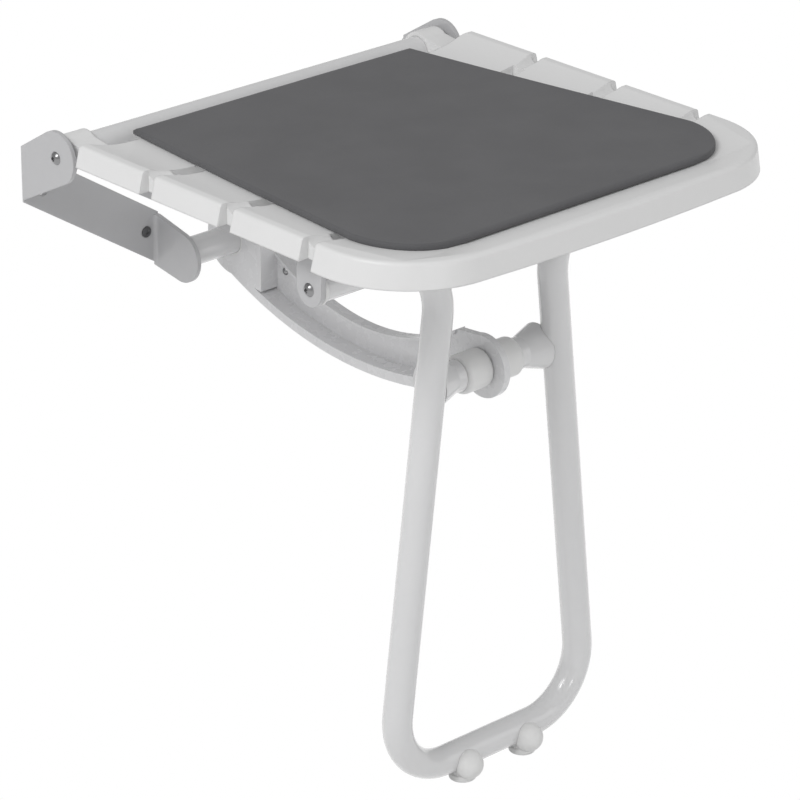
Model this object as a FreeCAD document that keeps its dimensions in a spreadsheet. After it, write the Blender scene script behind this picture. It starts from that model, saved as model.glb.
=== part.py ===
import FreeCAD, Part
import math
import os
import Sketcher

# Fold down wall seat: a dished plastic seat on a steel frame, two folded wall brackets,
# a support leg bent from one tube and a curved stay that keeps the leg upright.
# Frame: wall face at Y = 0, seat towards -Y, +Z up, X = 0 in the middle.
# Origin: middle of the upper pair of wall holes, on the wall face. Millimetres.

SIZES = {
    # wall brackets: one strip of sheet metal each, folded twice
    "sheet": 3.5,
    "strip_height": 44.0,
    "strip_slope": 33.0,
    "ear_inset": 1.0,
    "ear_nose": 21.0,
    "lobe_reach": 71.5,
    "lobe_nose": 20.5,
    "lobe_drop": 2.3,
    "outer_bend": 3.0,
    "inner_bend": 7.0,
    "upper_hole_inset": 20.0,
    "strip_zero_reach": 174.0,
    "lower_hole_reach": 81.0,
    "wall_hole": 9.0,
    # the four pivots
    "seat_pivot_out": 45.0,
    "seat_pivot_up": 42.3,
    "leg_pivot_out": 314.0,
    "leg_pivot_up": 14.3,
    "stay_shift": 11.0,
    "stay_drop": 115.5,
    "pin_bore": 8.1,
    "pin": 8.0,
    "dome": 10.4,
    "dome_socket": 3.6,
    # tubes
    "rear_tube": 25.0,
    "axle_tube": 23.4,
    "leg_tube": 23.6,
    "tube_wall": 2.0,
    "flange": 3.0,
    "flange_play": 0.3,
    "bush_length": 22.0,
    "bush_play": 0.05,
    "axle_play": 0.15,
    # seat shell
    "shell_back": 75.0,
    "shell_length": 358.0,
    "rim_up": 61.0,
    "shell_depth": 20.0,
    "side_depth": 16.5,
    "shell_half_width": 201.0,
    "side_draft": 5.0,
    "front_draft": 2.0,
    "shell_corner": 75.0,
    "front_bow": 4.0,
    "slat": 74.4,
    "gap": 13.5,
    "slot_inset": 25.0,
    "notch_depth": 10.0,
    "groove_depth": 6.8,
    "shell_wall": 3.6,
    "skin": 4.6,
    "dish_back": 8.8,
    "dish_front": 3.8,
    "dish_floor_inset": 52.0,
    "dish_mouth_inset": 7.0,
    "dish_end_out": 403.0,
    "dish_end_ramp": 22.0,
    "knuckle_inset": 9.0,
    "knuckle_length": 22.0,
    "shell_edge": 3.0,
    # seat pad
    "pad_back_out": 65.0,
    "pad_front_out": 402.0,
    "pad_back_inset": 59.5,
    "pad_front_inset": 27.0,
    "pad_thickness": 5.4,
    "pad_corner": 58.0,
    "pad_edge": 1.2,
    "pad_lift": 0.1,
    # seat frame
    "strap_width": 26.4,
    "strap_sheet": 4.5,
    "lug_inset": 15.5,
    "lug_bend": 5.0,
    "strap_up": 38.0,
    "rail_reach": 120.0,
    "rail_width": 20.0,
    "rail_height": 12.0,
    "shell_screw": 4.8,
    "shell_screw_length": 16.0,
    "shell_boss": 11.0,
    # support leg
    "leg_splay": 6.6,
    "leg_top_half": 53.1,
    "leg_bar_down": 417.5,
    "leg_top_bend": 50.0,
    "leg_bottom_bend": 50.5,
    "foot_reach": 32.4,
    "foot_ball": 11.6,
    "foot_ball_forward": 12.5,
    "foot_ball_down": 3.8,
    "foot_disc": 10.8,
    "foot_disc_forward": 5.5,
    "foot_height": 6.2,
    "foot_lip": 5.0,
    "foot_edge": 1.6,
    # cross joint between the leg and the stay
    "boss_radius": 12.6,
    "boss_flare": 18.5,
    "boss_reach": 29.0,
    "boss_weld_reach": 61.0,
    "cross_pin": 12.0,
    "roller_radius": 15.6,
    "roller_edge": 4.0,
    "cross_play": 0.3,
    # stay
    "stay_half": 20.0,
    "stay_web": 6.0,
    "stay_flange": 8.0,
    "stay_lip": 5.5,
    "stay_hub": 28.0,
    "stay_eye": 25.0,
    "stay_lower_arc": 351.0,
    "stay_upper_arc": 190.0,
    "stay_root": 3.5,
    "hub_barrel": 20.0,
    "hub_liner": 1.5,
    "stay_rivet": 4.0,
    "stay_rivet_head": 6.4,
    # wall screws
    "wall_screw_shank": 8.0,
    "wall_screw_neck": 8.6,
    "wall_screw_neck_end": 0.5,
    "wall_screw_head": 8.8,
    "wall_screw_head_height": 0.8,
    "wall_screw_socket": 4.0,
    "wall_screw_length": 40.0,
}

doc = FreeCAD.newDocument("FoldDownSeat")
sheet = doc.addObject("Spreadsheet::Sheet", "Sizes")


class Size:
    """A number together with the sheet expression that gives it."""

    def __init__(self, value, text):
        self.value = float(value)
        self.text = text

    def __add__(self, other):
        other = as_size(other)
        return Size(self.value + other.value, f"({self.text} + {other.text})")

    def __sub__(self, other):
        other = as_size(other)
        return Size(self.value - other.value, f"({self.text} - {other.text})")

    def __mul__(self, other):
        other = as_size(other)
        return Size(self.value * other.value, f"({self.text} * {other.text})")

    def __truediv__(self, other):
        other = as_size(other)
        return Size(self.value / other.value, f"({self.text} / {other.text})")

    def __neg__(self):
        return Size(-self.value, f"(0 - {self.text})")

    __radd__ = __add__
    __rmul__ = __mul__

    def __rsub__(self, other):
        return as_size(other) - self


def as_size(number):
    """A plain number as a Size."""
    return number if isinstance(number, Size) else Size(number, f"({number})")


def tan_of(angle):
    """Tangent of a size that holds degrees."""
    return Size(math.tan(math.radians(angle.value)), f"tan({angle.text} * 1 deg)")


def sin_of(angle):
    """Sine of a size that holds degrees."""
    return Size(math.sin(math.radians(angle.value)), f"sin({angle.text} * 1 deg)")


def cos_of(angle):
    """Cosine of a size that holds degrees."""
    return Size(math.cos(math.radians(angle.value)), f"cos({angle.text} * 1 deg)")


class Named:
    """The sheet's sizes as attributes."""


S = Named()
for row, (word, number) in enumerate(SIZES.items(), start=1):
    sheet.set(f"A{row}", word)
    sheet.set(f"B{row}", str(number))
    sheet.setAlias(f"B{row}", word)
    setattr(S, word, Size(number, f"Sizes.{word}"))
doc.recompute()

SEAT_Y = -S.seat_pivot_out
SEAT_Z = S.seat_pivot_up
LEG_Y = -S.leg_pivot_out
LEG_Z = S.leg_pivot_up
CROSS_Y = LEG_Y + S.stay_shift
CROSS_Z = LEG_Z - S.stay_drop
AXLE_Y = SEAT_Y + S.stay_shift
AXLE_Z = SEAT_Z - S.stay_drop
RIM = S.rim_up
EAR_REACH = S.shell_half_width - S.ear_inset
UPPER_HOLE_REACH = S.shell_half_width - S.upper_hole_inset
LUG_REACH = S.shell_half_width - S.lug_inset
KNUCKLE_REACH = S.shell_half_width - S.knuckle_inset
SLOT_HALF = S.shell_half_width - S.slot_inset
DISH_HALF_FLOOR = S.shell_half_width - S.dish_floor_inset
DISH_HALF_MOUTH = S.shell_half_width - S.dish_mouth_inset
PAD_HALF_BACK = S.shell_half_width - S.pad_back_inset
PAD_HALF_FRONT = S.shell_half_width - S.pad_front_inset
SHELL_BACK = -S.shell_back
SHELL_FRONT = SHELL_BACK - S.shell_length
PITCH = S.slat + S.gap

nodes = []


def bind(thing, path, size):
    """Tie one property of a document object to the sheet."""
    thing.setExpression(path, as_size(size).text)


def keep(thing, label):
    """Register an object as a sub-part under its node name."""
    thing.Label = label
    nodes.append(thing)
    return thing


class Outline:
    """A sketch on a plane of its body, with every point tied to the sheet."""

    def __init__(self, body, role, station=0.0):
        plane = [item for item in body.Origin.OriginFeatures if item.Role == role][0]
        self.sketch = body.newObject("Sketcher::SketchObject", "Outline")
        self.sketch.AttachmentSupport = [(plane, "")]
        self.sketch.MapMode = "FlatFace"
        along = -as_size(station) if role == "XZ_Plane" else station
        bind(self.sketch, ".AttachmentOffset.Base.z", along)

    def rule(self, kind, *items):
        """Add one constraint; a Size at its end becomes an expression."""
        if isinstance(items[-1], Size):
            number = self.sketch.addConstraint(Sketcher.Constraint(kind, *items[:-1], items[-1].value))
            self.sketch.setExpression(f"Constraints[{number}]", items[-1].text)
        else:
            self.sketch.addConstraint(Sketcher.Constraint(kind, *items))

    def pin(self, edge, point, x=None, y=None):
        """Hold a point of an edge at a distance from the sketch origin."""
        if x is not None:
            self.rule("DistanceX", -1, 1, edge, point, as_size(x))
        if y is not None:
            self.rule("DistanceY", -1, 1, edge, point, as_size(y))

    def line(self, start, end):
        """A straight edge between two guessed points."""
        a = FreeCAD.Vector(start[0], start[1], 0)
        b = FreeCAD.Vector(end[0], end[1], 0)
        return self.sketch.addGeometry(Part.LineSegment(a, b), False)

    def arc(self, centre, radius, start, end):
        """An arc that runs anticlockwise between two guessed points."""
        middle = FreeCAD.Vector(centre[0], centre[1], 0)
        circle = Part.Circle(middle, FreeCAD.Vector(0, 0, 1), radius.value)
        first = math.atan2(start[1] - centre[1], start[0] - centre[0])
        last = math.atan2(end[1] - centre[1], end[0] - centre[0])
        if last <= first:
            last += 2 * math.pi
        edge = self.sketch.addGeometry(Part.ArcOfCircle(circle, first, last), False)
        self.rule("Radius", edge, radius)
        return edge

    def circle(self, x, y, radius):
        """A full circle."""
        x, y = as_size(x), as_size(y)
        middle = FreeCAD.Vector(x.value, y.value, 0)
        edge = self.sketch.addGeometry(
            Part.Circle(middle, FreeCAD.Vector(0, 0, 1), radius.value), False)
        self.rule("Radius", edge, radius)
        self.pin(edge, 3, x, y)
        return self

    def run(self, corners, bends=None, closed=True):
        """Edges through the corners; bends gives a corner-to-corner arc as edge: (radius, side)."""
        corners = [(as_size(x), as_size(y)) for x, y in corners]
        bends = bends or {}
        count = len(corners) if closed else len(corners) - 1
        edges = []
        for i in range(count):
            x0, y0 = corners[i]
            x1, y1 = corners[(i + 1) % len(corners)]
            start, end = (x0.value, y0.value), (x1.value, y1.value)
            if i not in bends:
                edges.append((self.line(start, end), 1, 2))
                continue
            radius, side = bends[i]
            centre = arc_centre(start, end, radius.value, side)
            if side > 0:
                edges.append((self.arc(centre, radius, start, end), 1, 2))
            else:
                edges.append((self.arc(centre, radius, end, start), 2, 1))
        for i, (edge, first, last) in enumerate(edges):
            self.pin(edge, first, *corners[i])
            if i + 1 < count:
                self.rule("Coincident", edge, last, edges[i + 1][0], edges[i + 1][1])
            elif closed:
                self.rule("Coincident", edge, last, edges[0][0], edges[0][1])
            else:
                self.pin(edge, last, *corners[-1])
        return self


def arc_centre(start, end, radius, side):
    """Centre of a short arc from start to end; side +1 runs anticlockwise, -1 clockwise."""
    dx, dy = end[0] - start[0], end[1] - start[1]
    chord = math.hypot(dx, dy)
    rise = math.sqrt(max(radius ** 2 - chord ** 2 / 4, 0.0))
    return (start[0] + dx / 2 - side * dy / chord * rise, start[1] + dy / 2 + side * dx / chord * rise)


def new_body(label):
    """An empty body that becomes one sub-part."""
    return keep(doc.addObject("PartDesign::Body", "Piece"), label)


def feature(body, kind, outline, length=None, backwards=False, cut_all=False):
    """One pad or pocket of an outline."""
    item = body.newObject(f"PartDesign::{kind}", kind)
    item.Profile = outline.sketch
    item.Reversed = backwards
    if cut_all:
        item.Type = "ThroughAll"
    else:
        bind(item, "Length", length)
    return item


def edges_where(shape, test):
    """Names of the edges whose midpoint, ends and box pass a test."""
    names = []
    for number, edge in enumerate(shape.Edges, start=1):
        if test(edge):
            names.append(f"Edge{number}")
    return names


def round_edges(body, radius, test):
    """Round the edges of a body's latest feature that pass the test."""
    doc.recompute()
    base = body.Tip
    names = edges_where(base.Shape, test)
    item = body.newObject("PartDesign::Fillet", "Round")
    item.Base = (base, names)
    bind(item, "Radius", radius)
    return item


def rod(radius, low, high, y, z):
    """A cylinder along X between two stations."""
    item = doc.addObject("Part::Cylinder", "Rod")
    item.Placement = FreeCAD.Placement(FreeCAD.Vector(), FreeCAD.Rotation(FreeCAD.Vector(0, 1, 0), 90))
    bind(item, "Radius", radius)
    bind(item, "Height", as_size(high) - low)
    bind(item, ".Placement.Base.x", low)
    bind(item, ".Placement.Base.y", y)
    bind(item, ".Placement.Base.z", z)
    return item


def post(radius, y_low, y_high, x, z):
    """A cylinder along Y between two stations."""
    item = doc.addObject("Part::Cylinder", "Post")
    item.Placement = FreeCAD.Placement(FreeCAD.Vector(), FreeCAD.Rotation(FreeCAD.Vector(1, 0, 0), -90))
    bind(item, "Radius", radius)
    bind(item, "Height", as_size(y_high) - y_low)
    bind(item, ".Placement.Base.x", x)
    bind(item, ".Placement.Base.y", y_low)
    bind(item, ".Placement.Base.z", z)
    return item


def upright(radius, z_low, z_high, x, y):
    """A cylinder along Z between two stations."""
    item = doc.addObject("Part::Cylinder", "Upright")
    bind(item, "Radius", radius)
    bind(item, "Height", as_size(z_high) - z_low)
    bind(item, ".Placement.Base.x", x)
    bind(item, ".Placement.Base.y", y)
    bind(item, ".Placement.Base.z", z_low)
    return item


def block(x_low, x_high, y_low, y_high, z_low, z_high):
    """A box between stations."""
    item = doc.addObject("Part::Box", "Block")
    bind(item, "Length", as_size(x_high) - x_low)
    bind(item, "Width", as_size(y_high) - y_low)
    bind(item, "Height", as_size(z_high) - z_low)
    bind(item, ".Placement.Base.x", x_low)
    bind(item, ".Placement.Base.y", y_low)
    bind(item, ".Placement.Base.z", z_low)
    return item


def fuse(*pieces):
    """One solid from overlapping pieces, or a group from separate ones."""
    item = doc.addObject("Part::MultiFuse", "Join")
    item.Shapes = list(pieces)
    item.Refine = True
    return item


def group(*pieces):
    """Separate solids kept together as one sub-part."""
    item = doc.addObject("Part::Compound", "Group")
    item.Links = list(pieces)
    return item


def cut(piece, tool):
    """A piece less a tool."""
    item = doc.addObject("Part::Cut", "Cut")
    item.Base = piece
    item.Tool = tool
    return item


def cone_x(low_radius, high_radius, low, high, y, z):
    """A cone frustum along X between two stations."""
    item = doc.addObject("Part::Cone", "Taper")
    item.Placement = FreeCAD.Placement(FreeCAD.Vector(), FreeCAD.Rotation(FreeCAD.Vector(0, 1, 0), 90))
    bind(item, "Radius1", low_radius)
    bind(item, "Radius2", high_radius)
    bind(item, "Height", as_size(high) - low)
    bind(item, ".Placement.Base.x", low)
    bind(item, ".Placement.Base.y", y)
    bind(item, ".Placement.Base.z", z)
    return item


def mirror(piece, label=None):
    """The piece on the other side of X = 0."""
    item = doc.addObject("Part::Mirroring", "Mirror")
    item.Source = piece
    item.Normal = FreeCAD.Vector(1, 0, 0)
    return keep(item, label) if label else item


def dome_x(low_x, y, z, width, socket=None):
    """A domed head of a width that sits against a face across X and points outwards."""
    radius = width / 2
    rise = radius * 0.6
    ball = doc.addObject("Part::Sphere", "Dome")
    ball_radius = (radius * radius + rise * rise) / (rise * 2)
    bind(ball, "Radius", ball_radius)
    bind(ball, ".Placement.Base.x", low_x + rise - ball_radius)
    bind(ball, ".Placement.Base.y", y)
    bind(ball, ".Placement.Base.z", z)
    item = doc.addObject("Part::Common", "Head")
    item.Base = ball
    item.Tool = block(low_x, low_x + rise + 1, as_size(y) - width, as_size(y) + width,
                      as_size(z) - width, as_size(z) + width)
    if socket is None:
        return item
    return cut(item, rod(socket / 2, low_x + rise / 3, low_x + rise + 1, y, z))


def rounded_nose(body, at, wall_low, wall_high, nose_y, nose_z, nose, wall_y=0.0):
    """Outline of a plate that runs from a wall segment to a round nose, tangent on both sides."""
    outline = Outline(body, "YZ_Plane", at)
    cy, cz, r = nose_y.value, nose_z.value, nose.value
    wall_y = as_size(wall_y)

    def touch(py, pz, side):
        away = math.hypot(py - cy, pz - cz)
        turn = math.acos(r / away) * side
        base = math.atan2(pz - cz, py - cy)
        return (cy + r * math.cos(base + turn), cz + r * math.sin(base + turn))

    low = (wall_y.value, wall_low.value)
    high = (wall_y.value, wall_high.value)
    low_touch = touch(low[0], low[1], -1)
    high_touch = touch(high[0], high[1], 1)
    wall = outline.line(low, high)
    upper = outline.line(high, high_touch)
    round_end = outline.arc((cy, cz), nose, high_touch, low_touch)
    lower = outline.line(low_touch, low)
    outline.pin(wall, 1, wall_y, wall_low)
    outline.pin(wall, 2, wall_y, wall_high)
    outline.pin(round_end, 3, nose_y, nose_z)
    outline.rule("Coincident", wall, 2, upper, 1)
    outline.rule("Coincident", lower, 2, wall, 1)
    outline.rule("Tangent", upper, 2, round_end, 1)
    outline.rule("Tangent", round_end, 2, lower, 1)
    return outline


def strip_middle(reach):
    """Height of the bracket strip's middle line at a distance from X = 0."""
    return (as_size(reach) - S.strip_zero_reach) * tan_of(S.strip_slope)


def wall_bracket():
    """Left bracket: an ear for the seat pivot and a lobe for the stay's axle, one strip."""
    body = new_body("wall_bracket_left")
    half = S.strip_height / 2
    inner = S.lobe_reach - S.sheet
    near, far = strip_middle(inner), strip_middle(EAR_REACH)
    plate = Outline(body, "XZ_Plane").run([
        (-EAR_REACH, far - half), (-inner, near - half), (-inner, near + half), (-EAR_REACH, far + half)])
    feature(body, "Pad", plate, S.sheet)
    ear = rounded_nose(body, -EAR_REACH, far - half, far + half, SEAT_Y, SEAT_Z, S.ear_nose)
    feature(body, "Pad", ear, S.sheet)
    lobe = rounded_nose(body, -S.lobe_reach, near - half, near + half, AXLE_Y, AXLE_Z - S.lobe_drop,
                        S.lobe_nose)
    feature(body, "Pad", lobe, S.sheet)
    reach_ear, reach_lobe = EAR_REACH.value, inner.value
    sheet_y = -S.sheet.value

    def upright_at(x, y):
        def test(edge):
            box = edge.BoundBox
            flat = box.XLength < 0.01 and box.YLength < 0.01
            return flat and abs(box.XMin - x) < 0.01 and abs(box.YMin - y) < 0.01
        return test

    round_edges(body, S.outer_bend, upright_at(-reach_ear, 0.0))
    round_edges(body, S.inner_bend, upright_at(-reach_lobe, 0.0))
    round_edges(body, S.inner_bend - S.sheet, upright_at(-S.lobe_reach.value, sheet_y))
    feature(body, "Pocket", Outline(body, "XZ_Plane").circle(
        -UPPER_HOLE_REACH, 0.0, S.wall_hole / 2), cut_all=True).Midplane = True
    feature(body, "Pocket", Outline(body, "XZ_Plane").circle(
        -S.lower_hole_reach, strip_middle(S.lower_hole_reach), S.wall_hole / 2),
        cut_all=True).Midplane = True
    ear_bore = Outline(body, "YZ_Plane", -EAR_REACH - 1).circle(SEAT_Y, SEAT_Z, S.pin_bore / 2)
    feature(body, "Pocket", ear_bore, S.sheet + 2, backwards=True)
    return body


def wall_frame():
    """Pieces that stay on the wall."""
    left = wall_bracket()
    mirror(left, "wall_bracket_right")
    inner = S.lobe_reach - S.sheet
    axle = cut(rod(S.axle_tube / 2, -inner, inner, AXLE_Y, AXLE_Z),
               rod(S.axle_tube / 2 - S.tube_wall, -inner - 1, inner + 1, AXLE_Y, AXLE_Z))
    keep(axle, "stay_axle")
    pin_end = EAR_REACH - S.sheet - S.flange_play - S.flange - S.bush_length
    pin = fuse(rod(S.pin / 2, pin_end, EAR_REACH + 0.5, SEAT_Y, SEAT_Z),
               dome_x(EAR_REACH, SEAT_Y, SEAT_Z, S.dome, S.dome_socket))
    keep(group(pin, mirror(pin)), "seat_pivot_pins")
    hole_z = strip_middle(S.lower_hole_reach)
    screw = fuse(post(S.wall_screw_shank / 2, 0, S.wall_screw_length, S.lower_hole_reach, hole_z),
                 post(S.wall_screw_neck / 2, -S.sheet, S.wall_screw_neck_end, S.lower_hole_reach, hole_z),
                 post(S.wall_screw_head / 2, -S.sheet - S.wall_screw_head_height, -S.sheet,
                      S.lower_hole_reach, hole_z))
    socket = post(S.wall_screw_socket / 2, -S.sheet - S.wall_screw_head_height - 1,
                  -S.sheet, S.lower_hole_reach, hole_z)
    screw = cut(screw, socket)
    keep(group(screw, mirror(screw)), "wall_screws")


def rear_tube():
    """Tube behind the seat that turns on the two ear pins, with a plastic bush in each end."""
    end = EAR_REACH - S.sheet - S.flange_play - S.flange
    bore = S.rear_tube / 2 - S.tube_wall
    tube = cut(rod(S.rear_tube / 2, -end, end, SEAT_Y, SEAT_Z),
               rod(bore, -end - 1, end + 1, SEAT_Y, SEAT_Z))
    keep(tube, "seat_rear_tube")
    bush = cut(fuse(rod(S.rear_tube / 2, end, end + S.flange, SEAT_Y, SEAT_Z),
                    rod(bore - S.bush_play, end - S.bush_length, end + 0.5, SEAT_Y, SEAT_Z)),
               rod(S.pin_bore / 2, end - S.bush_length - 1, end + S.flange + 1, SEAT_Y, SEAT_Z))
    keep(group(bush, mirror(bush)), "rear_tube_bushes")


def side_plate():
    """Left side plate: carries the shell's edge and ends in the lug of the leg pivot."""
    body = new_body("side_plate_left")
    front, back = LEG_Y - S.strap_width / 2, LEG_Y + S.strap_width / 2
    top = RIM - S.side_depth
    under = top - S.rail_height
    outline = Outline(body, "YZ_Plane", -LUG_REACH).run([
        (SEAT_Y, top), (front, top), (front, LEG_Z), (back, LEG_Z), (back, under), (SEAT_Y, under)],
        {2: (S.strap_width / 2 + 0.001, 1)})
    feature(body, "Pad", outline, S.strap_sheet)
    seat = Outline(body, "YZ_Plane", -LUG_REACH - 1).circle(SEAT_Y, SEAT_Z, S.rear_tube / 2)
    feature(body, "Pocket", seat, S.strap_sheet + 2, backwards=True)
    back_cut = Outline(body, "YZ_Plane", -LUG_REACH - 1).run([
        (SEAT_Y - 4, top + 1), (SEAT_Y - 4, under - 1), (SEAT_Y + 1, under - 1), (SEAT_Y + 1, top + 1)])
    feature(body, "Pocket", back_cut, S.strap_sheet + 2, backwards=True)
    bore = Outline(body, "YZ_Plane", -LUG_REACH - 1).circle(LEG_Y, LEG_Z, S.pin_bore / 2)
    feature(body, "Pocket", bore, S.strap_sheet + 2, backwards=True)
    return body


def seat_frame():
    """Metal pieces under the shell."""
    mirror(side_plate(), "side_plate_right")
    top = RIM - S.side_depth
    inner = LUG_REACH - S.strap_sheet
    middle = LEG_Y + S.strap_width / 2 + S.rail_width / 2
    low, high = middle - S.rail_width / 2, middle + S.rail_width / 2
    bar = cut(block(-inner, inner, low, high, top - S.rail_height, top),
              block(-inner - 1, inner + 1, low + S.tube_wall, high - S.tube_wall,
                    top - S.rail_height + S.tube_wall, top - S.tube_wall))
    reaches = [-S.rail_reach, as_size(0.0), S.rail_reach]
    for reach in reaches:
        bar = cut(bar, upright(S.shell_screw / 2 + 0.2, top - S.rail_height - 1, top + 1, reach, middle))
    keep(bar, "seat_cross_bar")
    screws = []
    for reach in reaches:
        shank = upright(S.shell_screw / 2, top - S.rail_height - 0.5, top + S.shell_screw_length / 3,
                        reach, middle)
        head = upright(S.shell_screw, top - S.rail_height - S.shell_screw / 2, top - S.rail_height,
                       reach, middle)
        screws.append(fuse(shank, head))
    keep(group(*screws), "shell_screws")
    reach = LUG_REACH
    rivet = fuse(rod(S.pin / 2, reach - S.strap_sheet - S.flange_play - S.flange - S.bush_length,
                     reach + 0.5, LEG_Y, LEG_Z),
                 dome_x(reach, LEG_Y, LEG_Z, S.dome, S.dome_socket))
    keep(group(rivet, mirror(rivet)), "leg_pivot_pins")


def dish_depth(out):
    """Depth of the dish's floor under the rim at a distance from the wall."""
    run = S.dish_end_out - S.shell_back
    return S.dish_back - (S.dish_back - S.dish_front) * (as_size(out) - S.shell_back) / run


def dish_section(body, out, depth, floor_half, mouth_half, lift=None, thick=None):
    """Cross-section of the dish, or of the pad that lies in it, at a distance from the wall."""
    outline = Outline(body, "XZ_Plane", -as_size(out))
    rise = depth
    side = mouth_half - floor_half
    radius = (side * side + rise * rise) / (rise * 2)
    floor = RIM - depth
    rim = RIM
    if thick is None:
        top = RIM + 12
        return outline.run([
            (-mouth_half, rim), (-floor_half, floor), (floor_half, floor), (mouth_half, rim),
            (mouth_half, top), (-mouth_half, top)], {0: (radius, 1), 2: (radius, 1)})
    low, low_rim = floor + lift, rim + lift
    return outline.run([
        (-mouth_half, low_rim), (-floor_half, low), (floor_half, low), (mouth_half, low_rim),
        (mouth_half, low_rim + thick), (floor_half, low + thick), (-floor_half, low + thick),
        (-mouth_half, low_rim + thick)],
        {0: (radius, 1), 2: (radius, 1), 4: (radius, -1), 6: (radius, -1)})


def dish_sections(body, lift=None, thick=None):
    """The dish's cross-sections from behind the seat to its front ramp."""
    floor, mouth = DISH_HALF_FLOOR, DISH_HALF_MOUTH
    start = S.shell_back - 12
    bend = S.dish_end_out - 60
    end = S.dish_end_out
    sections = [
        dish_section(body, start, dish_depth(start), floor, mouth, lift, thick),
        dish_section(body, bend, dish_depth(bend), floor, mouth, lift, thick),
        dish_section(body, end, dish_depth(end), floor - 16, mouth - 17, lift, thick)]
    if thick is None:
        ramp = end + S.dish_end_ramp
        sections.append(dish_section(body, ramp, as_size(0.2), floor - 40, mouth - 62))
    return sections


def loft(body, kind, sections):
    """A ruled loft through outlines."""
    item = body.newObject(f"PartDesign::{kind}", kind)
    item.Profile = sections[0].sketch
    item.Sections = [(section.sketch, [""]) for section in sections[1:]]
    item.Ruled = True
    return item


def plan_outline(body, at, grow, front_grow):
    """Plan view of the shell at a height: straight sides, round front corners, bowed front."""
    half = S.shell_half_width + grow
    front = SHELL_FRONT - front_grow + S.front_bow
    corner = S.shell_corner + grow
    bow_half = half - corner
    bow_radius = (bow_half * bow_half + S.front_bow * S.front_bow) / (S.front_bow * 2)
    outline = Outline(body, "XY_Plane", at)
    return outline.run([
        (half, SHELL_BACK), (-half, SHELL_BACK), (-half, front + corner), (-bow_half, front),
        (bow_half, front), (half, front + corner)],
        {2: (corner + 0.001, 1), 3: (bow_radius, 1), 4: (corner + 0.001, 1)})


def slat_gaps():
    """Rear and front edge of each slot, as distances from the wall."""
    gaps = []
    for number in range(3):
        start = S.shell_back + S.slat + PITCH * number
        gaps.append((start, start + S.gap))
    return gaps


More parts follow.
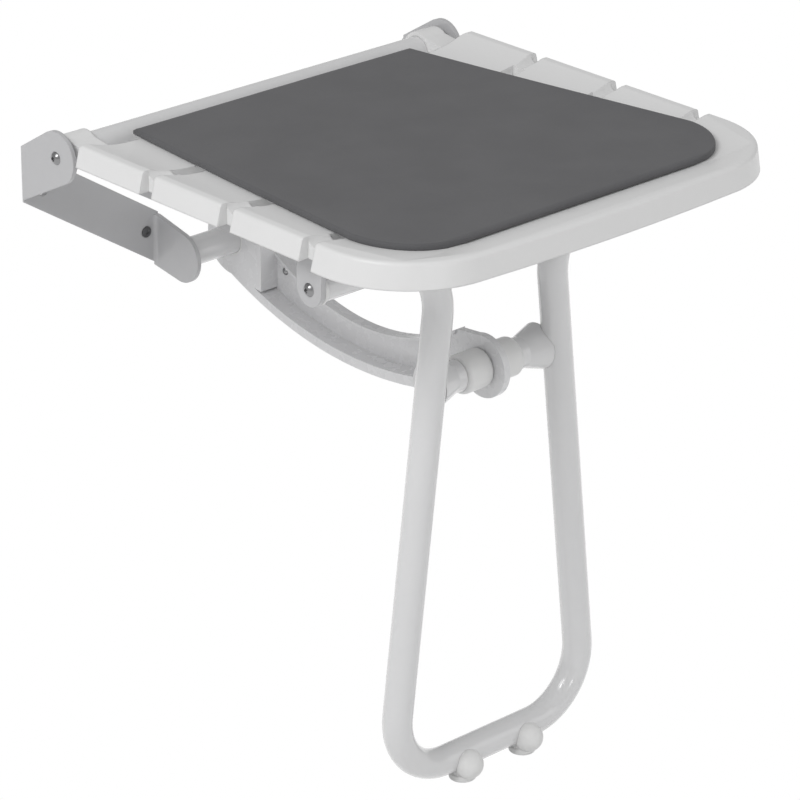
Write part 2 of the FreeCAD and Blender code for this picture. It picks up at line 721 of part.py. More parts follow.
def seat_shell():
    """Moulded seat: dished top with three slots, hollow below, hooked over the rear tube."""
    body = new_body("seat_shell")
    under = RIM - S.shell_depth
    shell = loft(body, "AdditiveLoft", [
        plan_outline(body, RIM, as_size(0.0), as_size(0.0)),
        plan_outline(body, under, S.side_draft, S.front_draft)])
    shell.Ruled = True

    def top_edge(edge):
        box = edge.BoundBox
        return abs(box.ZMin - RIM.value) < 0.01 and abs(box.ZMax - RIM.value) < 0.01

    round_edges(body, S.shell_edge, top_edge)
    half_out = S.shell_half_width + S.side_draft + 5
    gaps = slat_gaps()
    side_under = RIM - S.side_depth
    step = -(gaps[2][0] + S.gap / 2)
    trim = Outline(body, "XZ_Plane", step).run([
        (-half_out, under - 1), (half_out, under - 1), (half_out, side_under), (-half_out, side_under)])
    feature(body, "Pocket", trim, S.shell_length, backwards=False)
    loft(body, "SubtractiveLoft", dish_sections(body))

    hook_half = S.rear_tube / 2 + S.shell_wall
    for side in (-1, 1):
        low = -KNUCKLE_REACH if side < 0 else KNUCKLE_REACH - S.knuckle_length
        hook = Outline(body, "YZ_Plane", low).run([
            (SHELL_BACK - 2, side_under), (SEAT_Y, side_under), (SEAT_Y + hook_half, SEAT_Z),
            (SEAT_Y - hook_half * 0.6, SEAT_Z + hook_half * 0.8),
            (SHELL_BACK - 2, SEAT_Z + hook_half * 0.6)],
            {2: (hook_half, 1)})
        feature(body, "Pad", hook, S.knuckle_length)
    tube = Outline(body, "YZ_Plane").circle(SEAT_Y, SEAT_Z, S.rear_tube / 2 + 0.05)
    feature(body, "Pocket", tube, cut_all=True).Midplane = True

    edges = [S.shell_back] + [edge for gap in gaps for edge in gap] + [S.shell_back + S.shell_length]
    inside = S.shell_half_width - S.shell_wall
    for number in range(3):
        rear, front = edges[number * 2] + S.shell_wall, edges[number * 2 + 1] - S.shell_wall
        ceiling = RIM - dish_depth(rear) - S.skin
        room = Outline(body, "XY_Plane", under - 1).run([
            (inside, -rear), (-inside, -rear), (-inside, -front), (inside, -front)])
        pocket(body, room, ceiling - under + 1)
    rear = edges[6] + S.shell_wall
    front = SHELL_FRONT + S.shell_wall + S.front_bow
    corner = S.shell_corner - S.shell_wall
    room = Outline(body, "XY_Plane", under - 1).run([
        (inside, -rear), (-inside, -rear), (-inside, front + corner), (-inside + corner, front),
        (inside - corner, front), (inside, front + corner)],
        {2: (corner + 0.001, 1), 4: (corner + 0.001, 1)})
    pocket(body, room, RIM - dish_depth(edges[6]) - S.skin - under + 1)

    for rear, front in gaps:
        slot_half = SLOT_HALF
        slot = Outline(body, "XY_Plane", under - 1).run([
            (slot_half, -rear), (-slot_half, -rear), (-slot_half, -front), (slot_half, -front)])
        pocket(body, slot, RIM - under + 5)
        for side in (-1, 1):
            notch_in = (S.shell_half_width + S.side_draft - S.notch_depth) * side
            far = half_out * side
            notch = Outline(body, "XY_Plane", under - 1).run([
                (notch_in, -rear), (notch_in, -front), (far, -front), (far, -rear)])
            pocket(body, notch, RIM - under + 5)
        middle = -(rear + S.gap / 2)
        round_low = RIM - S.groove_depth + S.gap / 2
        groove = Outline(body, "YZ_Plane").run([
            (middle - S.gap / 2, round_low), (middle + S.gap / 2, round_low),
            (middle + S.gap / 2, RIM + 9), (middle - S.gap / 2, RIM + 9)],
            {0: (S.gap / 2 + 0.001, 1)})
        feature(body, "Pocket", groove, cut_all=True).Midplane = True

    boss_y = LEG_Y + S.strap_width / 2 + S.rail_width / 2
    for reach in (-S.rail_reach, as_size(0.0), S.rail_reach):
        boss = Outline(body, "XY_Plane", side_under).circle(reach, boss_y, S.shell_boss / 2)
        feature(body, "Pad", boss, S.side_depth - dish_depth(-boss_y) - S.skin / 2)
        pilot = Outline(body, "XY_Plane", side_under - 1).circle(reach, boss_y, S.shell_screw / 2)
        pocket(body, pilot, S.shell_screw_length / 3 + 1.2)
    return body


def pocket(body, outline, depth):
    """A pocket that is cut upwards from its outline."""
    return feature(body, "Pocket", outline, depth, backwards=True)


def seat_pad():
    """Foam pad: an even sheet that lies in the dish."""
    body = new_body("seat_pad")
    loft(body, "AdditiveLoft", dish_sections(body, S.pad_lift, S.pad_thickness))
    back, front = -S.pad_back_out, -S.pad_front_out
    corner = S.pad_corner
    wide, narrow = PAD_HALF_FRONT, PAD_HALF_BACK
    far = S.shell_half_width + 40
    side_end = front + corner
    outline = Outline(body, "XY_Plane")
    outline.run([
        (far, back + 40), (-far, back + 40), (-far, front - 60), (far, front - 60)])
    outline.run([
        (narrow, back), (-narrow, back), (-wide, side_end), (corner - wide, front),
        (wide - corner, front), (wide, side_end)],
        {2: (corner + 0.001, 1), 4: (corner + 0.001, 1)})
    trim = feature(body, "Pocket", outline, cut_all=True)
    trim.Midplane = True
    return body


def leg_line(z):
    """Distance of the leg's middle line from X = 0 at a height."""
    return S.leg_top_half + (LEG_Z - z) * tan_of(S.leg_splay)


def leg_tube_body():
    """Leg bent from one tube: two pivot ends, two splayed legs and a foot bar."""
    body = new_body("leg_tube")
    end = LUG_REACH - S.strap_sheet - S.flange_play - S.flange
    bar = -S.leg_bar_down
    slope = S.leg_splay
    top_run = S.leg_top_bend * tan_of(slope / 2 + 45)
    low_run = S.leg_bottom_bend * tan_of(slope / 2 + 45)
    top_x, low_x = leg_line(LEG_Z), leg_line(bar)
    half = [
        (end, LEG_Z), (top_x + top_run, LEG_Z),
        (top_x + top_run * sin_of(slope), LEG_Z - top_run * cos_of(slope)),
        (low_x - low_run * sin_of(slope), bar + low_run * cos_of(slope)), (low_x - low_run, bar)]
    corners = [(-x, z) for x, z in half] + list(reversed(half))
    path = Outline(body, "XZ_Plane", LEG_Y).run(corners, {
        1: (S.leg_top_bend, -1), 3: (S.leg_bottom_bend, 1),
        5: (S.leg_bottom_bend, 1), 7: (S.leg_top_bend, -1)}, closed=False)
    outer = S.leg_tube / 2
    for kind, radius in (("AdditivePipe", outer), ("SubtractivePipe", outer - S.tube_wall)):
        pipe = body.newObject(f"PartDesign::{kind}", kind)
        pipe.Profile = Outline(body, "YZ_Plane", -end).circle(LEG_Y, LEG_Z, radius).sketch
        pipe.Spine = (path.sketch, [f"Edge{number}" for number in range(1, 10)])
    return body


def leg():
    """The support leg with its pivot bushes, cross joint and feet."""
    leg_tube_body()
    end = LUG_REACH - S.strap_sheet - S.flange_play - S.flange
    bore = S.leg_tube / 2 - S.tube_wall
    bush = cut(fuse(rod(S.strap_width / 2, end, end + S.flange, LEG_Y, LEG_Z),
                    rod(bore - S.bush_play, end - S.bush_length, end + 0.5, LEG_Y, LEG_Z)),
               rod(S.pin_bore / 2, end - S.bush_length - 1, end + S.flange + 1, LEG_Y, LEG_Z))
    keep(group(bush, mirror(bush)), "leg_bushes")

    flare_start = S.boss_reach + 8
    boss = fuse(rod(S.boss_radius, S.boss_reach, S.boss_weld_reach, CROSS_Y, CROSS_Z),
                cone_x(S.boss_radius, S.boss_flare, flare_start, S.boss_weld_reach - 5,
                       CROSS_Y, CROSS_Z))
    limb = doc.addObject("Part::Cylinder", "Limb")
    bind(limb, "Radius", S.leg_tube / 2 + 0.02)
    bind(limb, "Height", S.leg_tube * 5)
    limb.Placement = FreeCAD.Placement(
        FreeCAD.Vector(), FreeCAD.Rotation(FreeCAD.Vector(0, -1, 0), S.leg_splay.value))
    low = CROSS_Z - S.leg_tube * 2.5
    bind(limb, ".Placement.Base.x", leg_line(low))
    bind(limb, ".Placement.Base.y", LEG_Y)
    bind(limb, ".Placement.Base.z", low)
    boss = cut(boss, limb)
    boss = cut(boss, rod(S.cross_pin / 2 + 0.05, S.boss_reach - 1, S.boss_reach + 18, CROSS_Y, CROSS_Z))
    keep(boss, "leg_boss_right")
    mirror(boss, "leg_boss_left")
    pin_reach = S.boss_reach + 17
    keep(rod(S.cross_pin / 2, -pin_reach, pin_reach, CROSS_Y, CROSS_Z), "cross_pin")
    near = S.stay_web / 2 + S.cross_play
    roller_end = S.boss_reach - S.cross_play
    barrel = rod(S.roller_radius, near, roller_end, CROSS_Y, CROSS_Z)
    doc.recompute()
    softened = doc.addObject("Part::Fillet", "Rounded")
    softened.Base = barrel
    rims = [number for number, edge in enumerate(barrel.Shape.Edges, start=1)
            if edge.BoundBox.XLength < 0.01]
    softened.Edges = [(number, S.roller_edge.value, S.roller_edge.value) for number in rims]
    roller = cut(softened, rod(S.cross_pin / 2 + 0.05, near - 1, roller_end + 1, CROSS_Y, CROSS_Z))
    keep(group(roller, mirror(roller)), "cross_rollers")

    mirror(foot(), "foot_left")


def foot():
    """Right rubber foot: a ball against the front of the foot bar on a flat disc under it."""
    bar = -S.leg_bar_down
    sole = bar - S.leg_tube / 2 - S.foot_height
    ball = doc.addObject("Part::Sphere", "Ball")
    bind(ball, "Radius", S.foot_ball)
    bind(ball, ".Placement.Base.x", S.foot_reach)
    bind(ball, ".Placement.Base.y", LEG_Y - S.foot_ball_forward)
    bind(ball, ".Placement.Base.z", bar - S.foot_ball_down)
    disc = upright(S.foot_disc, sole, sole + S.foot_lip, S.foot_reach, LEG_Y - S.foot_disc_forward)
    doc.recompute()
    soft_disc = doc.addObject("Part::Fillet", "Rounded")
    soft_disc.Base = disc
    rims = [number for number, edge in enumerate(disc.Shape.Edges, start=1)
            if edge.BoundBox.ZLength < 0.01]
    soft_disc.Edges = [(number, S.foot_edge.value, S.foot_edge.value) for number in rims]
    neck = upright(S.foot_disc - 2, sole + 1, bar, S.foot_reach, LEG_Y - S.foot_disc_forward)
    rubber = cut(fuse(ball, soft_disc, neck),
                 rod(S.leg_tube / 2 + 0.02, S.foot_reach - 30, S.foot_reach + 30, LEG_Y, bar))
    return keep(rubber, "foot_right")


def stay_half():
    """Left half of the stay: a web with a flange along its lower edge and a lip on top."""
    body = new_body("stay_left")
    web = S.stay_web / 2
    at = -web
    feature(body, "Pad", Outline(body, "YZ_Plane", at).circle(AXLE_Y, AXLE_Z, S.stay_hub), web)
    feature(body, "Pad", Outline(body, "YZ_Plane", at).circle(CROSS_Y, CROSS_Z, S.stay_eye), web)
    root = (AXLE_Y, AXLE_Z - S.stay_hub - 1.6)
    tip = (CROSS_Y + 13, CROSS_Z - S.stay_eye + 4.8)
    nub = (CROSS_Y + 27, CROSS_Z + 21.9)
    upper_end = (AXLE_Y - 24, AXLE_Z + 3.8)
    arm = [root, tip, (CROSS_Y, CROSS_Z), (CROSS_Y + 8, CROSS_Z + S.stay_eye - 1.2), nub,
           upper_end, (AXLE_Y, AXLE_Z)]
    feature(body, "Pad", Outline(body, "YZ_Plane", at).run(arm, {
        0: (S.stay_lower_arc, -1), 4: (S.stay_upper_arc, 1)}), web)

    side = S.stay_half
    thick = S.stay_flange
    stop = (tip[0] + 24, tip[1] - 6.3)
    flange = [root, stop, (stop[0] + 2, stop[1] + thick), (root[0], root[1] + thick)]
    feature(body, "Pad", Outline(body, "YZ_Plane", -side).run(flange, {
        0: (S.stay_lower_arc, -1), 2: (S.stay_lower_arc - thick, 1)}), side)
    cheek = Outline(body, "YZ_Plane", -side).run([
        root, (AXLE_Y, AXLE_Z + S.stay_hub), (AXLE_Y - 22, AXLE_Z + S.stay_hub),
        (AXLE_Y - 36, AXLE_Z + 12), (AXLE_Y - 36, root[1] - 5)],
        {0: (S.stay_hub + 0.81, 1), 2: (as_size(20.0), 1)})
    feature(body, "Pad", cheek, side)
    lip = Outline(body, "YZ_Plane", -S.stay_lip).run([
        nub, upper_end, (upper_end[0] - 1, upper_end[1] - 4), (nub[0] + 1, nub[1] - 4)],
        {0: (S.stay_upper_arc, 1), 2: (S.stay_upper_arc + 5, -1)})
    feature(body, "Pad", lip, S.stay_lip)

    axle = Outline(body, "YZ_Plane", -side - 1).circle(
        AXLE_Y, AXLE_Z, S.axle_tube / 2 + S.axle_play + S.hub_liner)
    pocket(body, axle, side + 2)
    eye = Outline(body, "YZ_Plane", -side - 1).circle(
        CROSS_Y, CROSS_Z, S.cross_pin / 2 + S.cross_play)
    pocket(body, eye, side + 2)
    for y, z in rivet_places():
        hole = Outline(body, "YZ_Plane", -side - 1).circle(y, z, S.stay_rivet / 2)
        pocket(body, hole, side + 2)
    return body


def rivet_places():
    """Middles of the rivets that hold the stay's halves together."""
    return [(AXLE_Y - 46, AXLE_Z - 18.5)]


def stay():
    """The stay with its rivets and axle liner."""
    mirror(stay_half(), "stay_right")
    web = S.stay_web / 2
    rivets = []
    for y, z in rivet_places():
        head = dome_x(web, y, z, S.stay_rivet_head)
        rivets.append(fuse(rod(S.stay_rivet / 2, -web - 0.2, web + 0.2, y, z), head, mirror(head)))
    keep(group(*rivets), "stay_rivets")
    inner = S.axle_tube / 2 + S.axle_play
    side = S.stay_half
    liner = cut(rod(inner + S.hub_liner, -side, side, AXLE_Y, AXLE_Z),
                rod(inner, -side - 1, side + 1, AXLE_Y, AXLE_Z))
    keep(liner, "stay_liner")


wall_frame()
rear_tube()
seat_frame()
seat_shell()
seat_pad()
leg()
stay()
doc.recompute()

failed = [item.Label for item in doc.Objects if {"Invalid", "Error"} & set(item.State)]
if failed:
    raise RuntimeError(f"objects that failed: {failed}")
for node in nodes:
    if node.Shape.isNull() or not node.Shape.isValid():
        raise RuntimeError(f"bad shape: {node.Label}")

os.makedirs("parts", exist_ok=True)
for node in nodes:
    node.Shape.exportStep(os.path.join("parts", f"{node.Label}.step"))
    box = node.Shape.BoundBox
    print(f"{node.Label}: {len(node.Shape.Solids)} solids, {node.Shape.Volume / 1000:.1f} cm3, "
          f"X {box.XMin:.1f} {box.XMax:.1f}, Y {box.YMin:.1f} {box.YMax:.1f}, "
          f"Z {box.ZMin:.1f} {box.ZMax:.1f}")
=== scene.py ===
import math

import bmesh
import bpy
from mathutils import Matrix, Vector


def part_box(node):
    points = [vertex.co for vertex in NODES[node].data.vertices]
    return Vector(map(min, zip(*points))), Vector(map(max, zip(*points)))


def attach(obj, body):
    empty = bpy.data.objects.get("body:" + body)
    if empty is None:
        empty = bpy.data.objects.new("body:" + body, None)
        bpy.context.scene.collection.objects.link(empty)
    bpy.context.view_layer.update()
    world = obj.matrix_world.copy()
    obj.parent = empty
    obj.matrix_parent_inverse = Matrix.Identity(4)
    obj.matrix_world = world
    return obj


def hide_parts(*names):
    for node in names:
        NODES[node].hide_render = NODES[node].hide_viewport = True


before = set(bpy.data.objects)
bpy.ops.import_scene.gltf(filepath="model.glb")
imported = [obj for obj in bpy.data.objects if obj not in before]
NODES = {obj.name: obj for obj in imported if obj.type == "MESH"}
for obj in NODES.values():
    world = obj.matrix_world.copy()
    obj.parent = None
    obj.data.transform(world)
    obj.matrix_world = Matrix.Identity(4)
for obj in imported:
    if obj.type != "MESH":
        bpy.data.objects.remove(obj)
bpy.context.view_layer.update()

# Fold down wall seat: materials with soft edges, foam pad, studio and camera.

MM = 0.001

# the seat's dish and the pad in it, in millimetres from the row's origin
RIM = 61.0
DISH = {"back": 8.8, "front": 3.8, "start": 75.0, "end": 403.0, "floor": 149.0, "mouth": 194.0}
PAD = {"back": 65.0, "front": 402.0, "half_back": 141.5, "half_front": 174.0, "thick": 5.4,
       "corner": 58.0, "edge": 1.6, "lift": 0.1, "low_edge": 0.8, "roll": 0.12}
PAD_ROWS, PAD_COLUMNS = 120, 110
COSINE_SHARE = 0.72
ROW_EASE = 0.01


# materials

EDGE_SAMPLES = 12


def new_material(name):
    """An empty node material with its output and shader."""
    material = bpy.data.materials.new(name)
    material.use_nodes = True
    tree = material.node_tree
    tree.nodes.clear()
    output = tree.nodes.new("ShaderNodeOutputMaterial")
    shader = tree.nodes.new("ShaderNodeBsdfPrincipled")
    tree.links.new(shader.outputs["BSDF"], output.inputs["Surface"])
    return material, tree, shader


def add(tree, kind, **values):
    """A node with its properties and plain inputs set."""
    node = tree.nodes.new(kind)
    for key, value in values.items():
        if key in node.inputs:
            node.inputs[key].default_value = value
        else:
            setattr(node, key, value)
    return node


def noise(tree, place, scale, detail=3.0, rough=0.5, stretch=(1.0, 1.0, 1.0)):
    """Noise in object space, scale in features per metre."""
    mapping = add(tree, "ShaderNodeMapping")
    mapping.inputs["Scale"].default_value = stretch
    tree.links.new(place.outputs["Object"], mapping.inputs["Vector"])
    node = add(tree, "ShaderNodeTexNoise", Scale=scale, Detail=detail, Roughness=rough)
    tree.links.new(mapping.outputs["Vector"], node.inputs["Vector"])
    return node.outputs["Fac"]


def cells(tree, place, scale):
    """Cell pattern in object space."""
    node = add(tree, "ShaderNodeTexVoronoi", Scale=scale)
    tree.links.new(place.outputs["Object"], node.inputs["Vector"])
    return node.outputs["Distance"]


def spread(tree, value, low, high, start=0.3, end=0.7):
    """A value mapped from a start-end span to a low-high span."""
    node = add(tree, "ShaderNodeMapRange")
    node.inputs["From Min"].default_value = start
    node.inputs["From Max"].default_value = end
    node.inputs["To Min"].default_value = low
    node.inputs["To Max"].default_value = high
    tree.links.new(value, node.inputs["Value"])
    return node.outputs["Result"]


def two_tone(tree, value, dark, light):
    """Colour between two tones by a value."""
    node = add(tree, "ShaderNodeMix", data_type="RGBA")
    node.inputs[6].default_value = (*dark, 1.0)
    node.inputs[7].default_value = (*light, 1.0)
    tree.links.new(value, node.inputs[0])
    return node.outputs[2]


def bump(tree, shader, *layers, edge=0.0):
    """Bumps from (height value, depth in metres) layers over normals rounded at edges by a radius."""
    normal = None
    if edge:
        normal = add(tree, "ShaderNodeBevel", Radius=edge, samples=EDGE_SAMPLES).outputs["Normal"]
    for height, depth in layers:
        node = add(tree, "ShaderNodeBump", Strength=1.0, Distance=depth)
        tree.links.new(height, node.inputs["Height"])
        if normal is not None:
            tree.links.new(normal, node.inputs["Normal"])
        normal = node.outputs["Normal"]
    tree.links.new(normal, shader.inputs["Normal"])


def moulded_plastic(name, tone, rough=0.36, edge=0.0006):
    """Satin moulded plastic: fine spark-eroded texture, faint flow marks and soft edges."""
    material, tree, shader = new_material(name)
    place = add(tree, "ShaderNodeTexCoord")
    flow = noise(tree, place, 9.0, 2.0, 0.5, (1.0, 2.2, 1.0))
    dirt = noise(tree, place, 60.0, 4.0, 0.6)
    base = two_tone(tree, spread(tree, flow, 0.0, 1.0), [c * 0.985 for c in tone], tone)
    shade = add(tree, "ShaderNodeMix", data_type="RGBA", blend_type="MULTIPLY")
    tree.links.new(spread(tree, dirt, 0.0, 0.2, 0.5, 0.8), shade.inputs[0])
    tree.links.new(base, shade.inputs[6])
    shade.inputs[7].default_value = (0.95, 0.95, 0.945, 1.0)
    tree.links.new(shade.outputs[2], shader.inputs["Base Color"])
    tree.links.new(spread(tree, noise(tree, place, 160.0, 3.0), rough - 0.04, rough + 0.05),
                   shader.inputs["Roughness"])
    bump(tree, shader, (flow, 0.0002), (noise(tree, place, 2600.0, 2.0, 0.6), 0.000015), edge=edge)
    shader.inputs["Specular IOR Level"].default_value = 0.5
    return material


def powder_coat(name, tone, rough=0.3, edge=0.0008, coat=0.25):
    """Powder coated steel: a slight orange peel under a clear gloss and soft edges."""
    material, tree, shader = new_material(name)
    place = add(tree, "ShaderNodeTexCoord")
    patch = noise(tree, place, 11.0, 2.0, 0.5)
    fine = noise(tree, place, 95.0, 3.0, 0.55)
    base = two_tone(tree, spread(tree, patch, 0.0, 1.0), [c * 0.98 for c in tone], tone)
    worn = add(tree, "ShaderNodeMix", data_type="RGBA", blend_type="MULTIPLY")
    tree.links.new(spread(tree, fine, 0.0, 0.25, 0.5, 0.8), worn.inputs[0])
    tree.links.new(base, worn.inputs[6])
    worn.inputs[7].default_value = (0.94, 0.94, 0.945, 1.0)
    tree.links.new(worn.outputs[2], shader.inputs["Base Color"])
    tree.links.new(spread(tree, fine, rough - 0.03, rough + 0.05), shader.inputs["Roughness"])
    bump(tree, shader, (noise(tree, place, 330.0, 2.0, 0.5), 0.00003),
         (noise(tree, place, 1500.0, 2.0, 0.5), 0.000006), edge=edge)
    shader.inputs["Coat Weight"].default_value = coat
    shader.inputs["Coat Roughness"].default_value = 0.12
    return material


def turned_steel(name, tone, rough, edge=0.0003):
    """Bare steel: fine turning marks, smudges and small scratches."""
    material, tree, shader = new_material(name)
    place = add(tree, "ShaderNodeTexCoord")
    marks = noise(tree, place, 700.0, 2.0, 0.5, (6.0, 1.0, 1.0))
    smudge = noise(tree, place, 90.0, 4.0, 0.6)
    base = two_tone(tree, spread(tree, smudge, 0.0, 1.0), [c * 0.82 for c in tone], tone)
    tree.links.new(base, shader.inputs["Base Color"])
    tree.links.new(spread(tree, smudge, rough - 0.06, rough + 0.14), shader.inputs["Roughness"])
    shader.inputs["Metallic"].default_value = 1.0
    bump(tree, shader, (marks, 0.000015), (noise(tree, place, 1900.0, 2.0), 0.00001), edge=edge)
    return material


def rubber(name, tone):
    """Soft white rubber: matt, slightly soiled, with a fine moulded skin."""
    material, tree, shader = new_material(name)
    place = add(tree, "ShaderNodeTexCoord")
    soil = noise(tree, place, 70.0, 5.0, 0.6)
    base = two_tone(tree, spread(tree, soil, 0.0, 1.0, 0.35, 0.6), [c * 0.95 for c in tone], tone)
    tree.links.new(base, shader.inputs["Base Color"])
    tree.links.new(spread(tree, soil, 0.5, 0.62), shader.inputs["Roughness"])
    bump(tree, shader, (noise(tree, place, 300.0, 3.0), 0.00004),
         (noise(tree, place, 2200.0, 2.0), 0.000015), edge=0.001)
    return material


def foam(name, dark, light):
    """Closed cell foam: dense fine cells, a few open pores and a soft surface roll."""
    material, tree, shader = new_material(name)
    place = add(tree, "ShaderNodeTexCoord")
    cloud = noise(tree, place, 22.0, 4.0, 0.55)
    grain = noise(tree, place, 1500.0, 3.0, 0.65)
    pores = spread(tree, cells(tree, place, 1300.0), 0.0, 1.0, 0.02, 0.38)
    base = two_tone(tree, spread(tree, cloud, 0.0, 1.0, 0.35, 0.65), dark, light)
    fleck = add(tree, "ShaderNodeMix", data_type="RGBA", blend_type="MULTIPLY")
    fleck.inputs[0].default_value = 1.0
    tree.links.new(base, fleck.inputs[6])
    tree.links.new(two_tone(tree, spread(tree, grain, 0.0, 1.0, 0.35, 0.65),
                            (0.9, 0.9, 0.9), (1.08, 1.08, 1.08)), fleck.inputs[7])
    tree.links.new(fleck.outputs[2], shader.inputs["Base Color"])
    tree.links.new(spread(tree, grain, 0.78, 0.92), shader.inputs["Roughness"])
    shader.inputs["Sheen Weight"].default_value = 0.12
    shader.inputs["Sheen Roughness"].default_value = 0.5
    shader.inputs["Specular IOR Level"].default_value = 0.35
    bump(tree, shader, (cloud, 0.00015), (pores, 0.00003), (grain, 0.00002))
    return material


PLASTIC = moulded_plastic("white_moulded_plastic", (0.8, 0.8, 0.8), 0.36, 0.0018)
BUSHING = moulded_plastic("white_bush_plastic", (0.8, 0.8, 0.795), 0.4)
FOAM = foam("dark_grey_foam", (0.112, 0.112, 0.117), (0.122, 0.122, 0.127))
WHITE_COAT = powder_coat("white_powder_coat", (0.73, 0.73, 0.735), 0.2, 0.0006, 0.7)
GREY_COAT = powder_coat("grey_powder_coat", (0.52, 0.52, 0.53), 0.34, 0.0012)
STAY_COAT = powder_coat("pale_powder_coat", (0.74, 0.74, 0.75), 0.26, 0.0, 0.4)
BRIGHT = turned_steel("bright_steel", (0.72, 0.72, 0.73), 0.22)
# pin and rivet steel: the same turned steel as the bright steel, with its tone lowered as painted shade
# for the dark sockets and the dark reflections on the pin heads
SHADED_PIN_STEEL = turned_steel("pin_steel_painted_shade", (0.33, 0.33, 0.335), 0.24)
DARK = turned_steel("dark_steel", (0.2, 0.2, 0.205), 0.38)
RUBBER = rubber("white_rubber", (0.8, 0.8, 0.795))

COATS = {
    PLASTIC: ["seat_shell"],
    BUSHING: ["rear_tube_bushes", "leg_bushes", "cross_rollers", "stay_liner"],
    WHITE_COAT: ["leg_tube", "leg_boss_left", "leg_boss_right", "seat_rear_tube", "stay_axle"],
    GREY_COAT: ["wall_bracket_left", "wall_bracket_right", "side_plate_left",
                "side_plate_right", "seat_cross_bar"],
    STAY_COAT: ["stay_left", "stay_right"],
    BRIGHT: ["shell_screws", "cross_pin"],
    # pins and rivets take the steel darkened with painted shade
    SHADED_PIN_STEEL: ["seat_pivot_pins", "leg_pivot_pins", "stay_rivets"],
    DARK: ["wall_screws"],
    RUBBER: ["foot_left", "foot_right"],
}
for material, names in COATS.items():
    for name in names:
        NODES[name].data.materials.clear()
        NODES[name].data.materials.append(material)

# seat pad

def dish_height(x, out):
    """Height of the dished top at a point, in millimetres."""
    share = (out - DISH["start"]) / (DISH["end"] - DISH["start"])
    depth = DISH["back"] - (DISH["back"] - DISH["front"]) * share
    side = DISH["mouth"] - DISH["floor"]
    radius = (side * side + depth * depth) / (2 * depth)
    run = max(abs(x) - DISH["floor"], 0.0)
    return RIM - depth + radius - math.sqrt(max(radius * radius - run * run, 0.0))


def pad_half(out):
    """Half width of the pad at a distance from the wall."""
    corner, front = PAD["corner"], PAD["front"]
    side_end = front - corner
    if out <= side_end:
        share = (out - PAD["back"]) / (side_end - PAD["back"])
        return PAD["half_back"] + (PAD["half_front"] - PAD["half_back"]) * share
    past = min(out - side_end, corner)
    return PAD["half_front"] - corner + math.sqrt(max(corner * corner - past * past, 0.0))


def make_pad():
    """Foam sheet that lies in the dish, with soft edges and a slight roll in its top."""
    rows, columns, rim = PAD_ROWS, PAD_COLUMNS, PAD["edge"]
    mesh = bmesh.new()
    top, low = [], []
    for i in range(rows + 1):
        share = i / rows
        eased = share - ROW_EASE * math.sin(2 * math.pi * share)
        out = PAD["back"] + (PAD["front"] - PAD["back"]) * eased
        half = pad_half(out)
        end_gap = min(out - PAD["back"], PAD["front"] - out)
        top_row, low_row = [], []
        for j in range(columns + 1):
            swing = math.cos(math.pi * j / columns)
            x = -half * (COSINE_SHARE * swing + (1 - COSINE_SHARE) * (1 - 2 * j / columns))
            gap = max(min(half - abs(x), end_gap), 0.0)
            sink = 0.0
            if gap < rim:
                sink = rim - math.sqrt(max(rim * rim - (rim - gap) ** 2, 0.0))
            roll = PAD["roll"] * math.sin(x * 0.021 + 0.7) * math.sin(out * 0.017)
            base = dish_height(x, out) + PAD["lift"]
            high = base + PAD["thick"] + roll - sink
            top_row.append(mesh.verts.new((x * MM, -out * MM, high * MM)))
            low_row.append(mesh.verts.new((x * MM, -out * MM, (base + min(sink, PAD["low_edge"])) * MM)))
        top.append(top_row)
        low.append(low_row)
    for i in range(rows):
        for j in range(columns):
            mesh.faces.new((top[i][j], top[i + 1][j], top[i + 1][j + 1], top[i][j + 1]))
            mesh.faces.new((low[i][j], low[i][j + 1], low[i + 1][j + 1], low[i + 1][j]))
        mesh.faces.new((top[i][0], low[i][0], low[i + 1][0], top[i + 1][0]))
        mesh.faces.new((top[i][columns], top[i + 1][columns], low[i + 1][columns], low[i][columns]))
    for j in range(columns):
        mesh.faces.new((top[0][j], top[0][j + 1], low[0][j + 1], low[0][j]))
        mesh.faces.new((top[rows][j], low[rows][j], low[rows][j + 1], top[rows][j + 1]))
    bmesh.ops.remove_doubles(mesh, verts=mesh.verts, dist=0.00001)
    bmesh.ops.recalc_face_normals(mesh, faces=mesh.faces)
    data = bpy.data.meshes.new("foam_pad")
    mesh.to_mesh(data)
    mesh.free()
    for face in data.polygons:
        face.use_smooth = True
    pad = bpy.data.objects.new("foam_pad", data)
    bpy.context.collection.objects.link(pad)
    data.materials.append(FOAM)
    return pad


pad = make_pad()
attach(pad, "seat")
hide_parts("seat_pad")


# studio

def stage_material(name, tone):
    """Plain surface that shows white to the camera and in reflections but keeps soft shade."""
    material, tree, shader = new_material(name)
    place = add(tree, "ShaderNodeTexCoord")
    tree.links.new(two_tone(tree, spread(tree, noise(tree, place, 3.0), 0.0, 1.0),
                            [c * 0.99 for c in tone], tone), shader.inputs["Base Color"])
    shader.inputs["Roughness"].default_value = 0.9
    shader.inputs["Specular IOR Level"].default_value = 0.1
    path = add(tree, "ShaderNodeLightPath")
    glow = add(tree, "ShaderNodeEmission", Strength=1.0)
    glow.inputs["Color"].default_value = (1.0, 1.0, 1.0, 1.0)
    either = add(tree, "ShaderNodeMath", operation="MAXIMUM")
    tree.links.new(path.outputs["Is Camera Ray"], either.inputs[0])
    tree.links.new(path.outputs["Is Glossy Ray"], either.inputs[1])
    mix = add(tree, "ShaderNodeMixShader")
    tree.links.new(either.outputs[0], mix.inputs[0])
    tree.links.new(shader.outputs["BSDF"], mix.inputs[1])
    tree.links.new(glow.outputs[0], mix.inputs[2])
    tree.links.new(mix.outputs[0], tree.nodes["Material Output"].inputs["Surface"])
    return material


def plane(name, corners, material):
    """One flat stage surface."""
    data = bpy.data.meshes.new(name)
    data.from_pydata(corners, [], [(0, 1, 2, 3)])
    item = bpy.data.objects.new(name, data)
    bpy.context.collection.objects.link(item)
    data.materials.append(material)
    return item


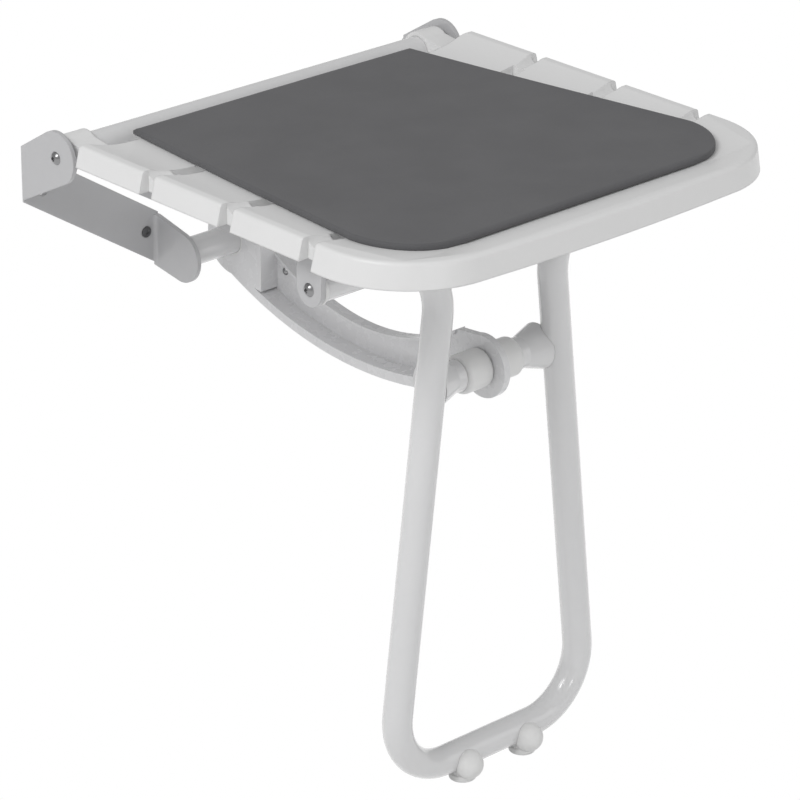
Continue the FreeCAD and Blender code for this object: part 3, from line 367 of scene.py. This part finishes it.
FLOOR_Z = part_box("foot_left")[0][2]
STAGE = stage_material("studio_white", (0.9, 0.9, 0.9))
REACH = 9.0
plane("floor", [(-REACH, -REACH, FLOOR_Z), (REACH, -REACH, FLOOR_Z), (REACH, REACH, FLOOR_Z),
                (-REACH, REACH, FLOOR_Z)], STAGE)

# white to the camera, a softer white as light
world = bpy.data.worlds.new("studio")
bpy.context.scene.world = world
world.use_nodes = True
tree = world.node_tree
tree.nodes.clear()
output = tree.nodes.new("ShaderNodeOutputWorld")
back = tree.nodes.new("ShaderNodeBackground")
fill = tree.nodes.new("ShaderNodeBackground")
mix = tree.nodes.new("ShaderNodeMixShader")
path = tree.nodes.new("ShaderNodeLightPath")
back.inputs["Color"].default_value = (1.0, 1.0, 1.0, 1.0)
back.inputs["Strength"].default_value = 1.0
fill.inputs["Color"].default_value = (1.0, 1.0, 1.0, 1.0)
fill.inputs["Strength"].default_value = 0.5
tree.links.new(path.outputs["Is Camera Ray"], mix.inputs[0])
tree.links.new(fill.outputs[0], mix.inputs[1])
tree.links.new(back.outputs[0], mix.inputs[2])
tree.links.new(mix.outputs[0], output.inputs["Surface"])


def lamp(name, place, target, size, power):
    """A soft square lamp aimed at a point."""
    data = bpy.data.lights.new(name, "AREA")
    data.shape = "SQUARE"
    data.size = size
    data.energy = power
    item = bpy.data.objects.new(name, data)
    bpy.context.collection.objects.link(item)
    item.location = place
    item.rotation_euler = (Vector(target) - Vector(place)).to_track_quat("-Z", "Y").to_euler()
    return item


MIDDLE = (0.0, -0.22, -0.1)
lamp("key", (-2.6, -0.5, 2.2), MIDDLE, 1.3, 46.0)
lamp("front_fill", (1.6, -2.6, 0.6), MIDDLE, 1.6, 7.0)
lamp("streak", (-0.7, -2.7, 0.1), MIDDLE, 0.35, 3.0)

# camera at the photograph's angle
camera_data = bpy.data.cameras.new("camera")
camera = bpy.data.objects.new("camera", camera_data)
bpy.context.collection.objects.link(camera)
camera_data.lens = 177.47
camera_data.sensor_width = 36.0
camera_data.clip_end = 50.0
right = Vector((0.734068, -0.679044, 0.006606))
up = Vector((0.271603, 0.302498, 0.913634))
behind = Vector((-0.622396, -0.668875, 0.406485))
place = Vector((-1.898252, -2.250267, 1.079234))
camera.matrix_world = Matrix((
    (right.x, up.x, behind.x, place.x), (right.y, up.y, behind.y, place.y),
    (right.z, up.z, behind.z, place.z), (0, 0, 0, 1)))
scene = bpy.context.scene
scene.camera = camera
scene.view_settings.view_transform = "Standard"
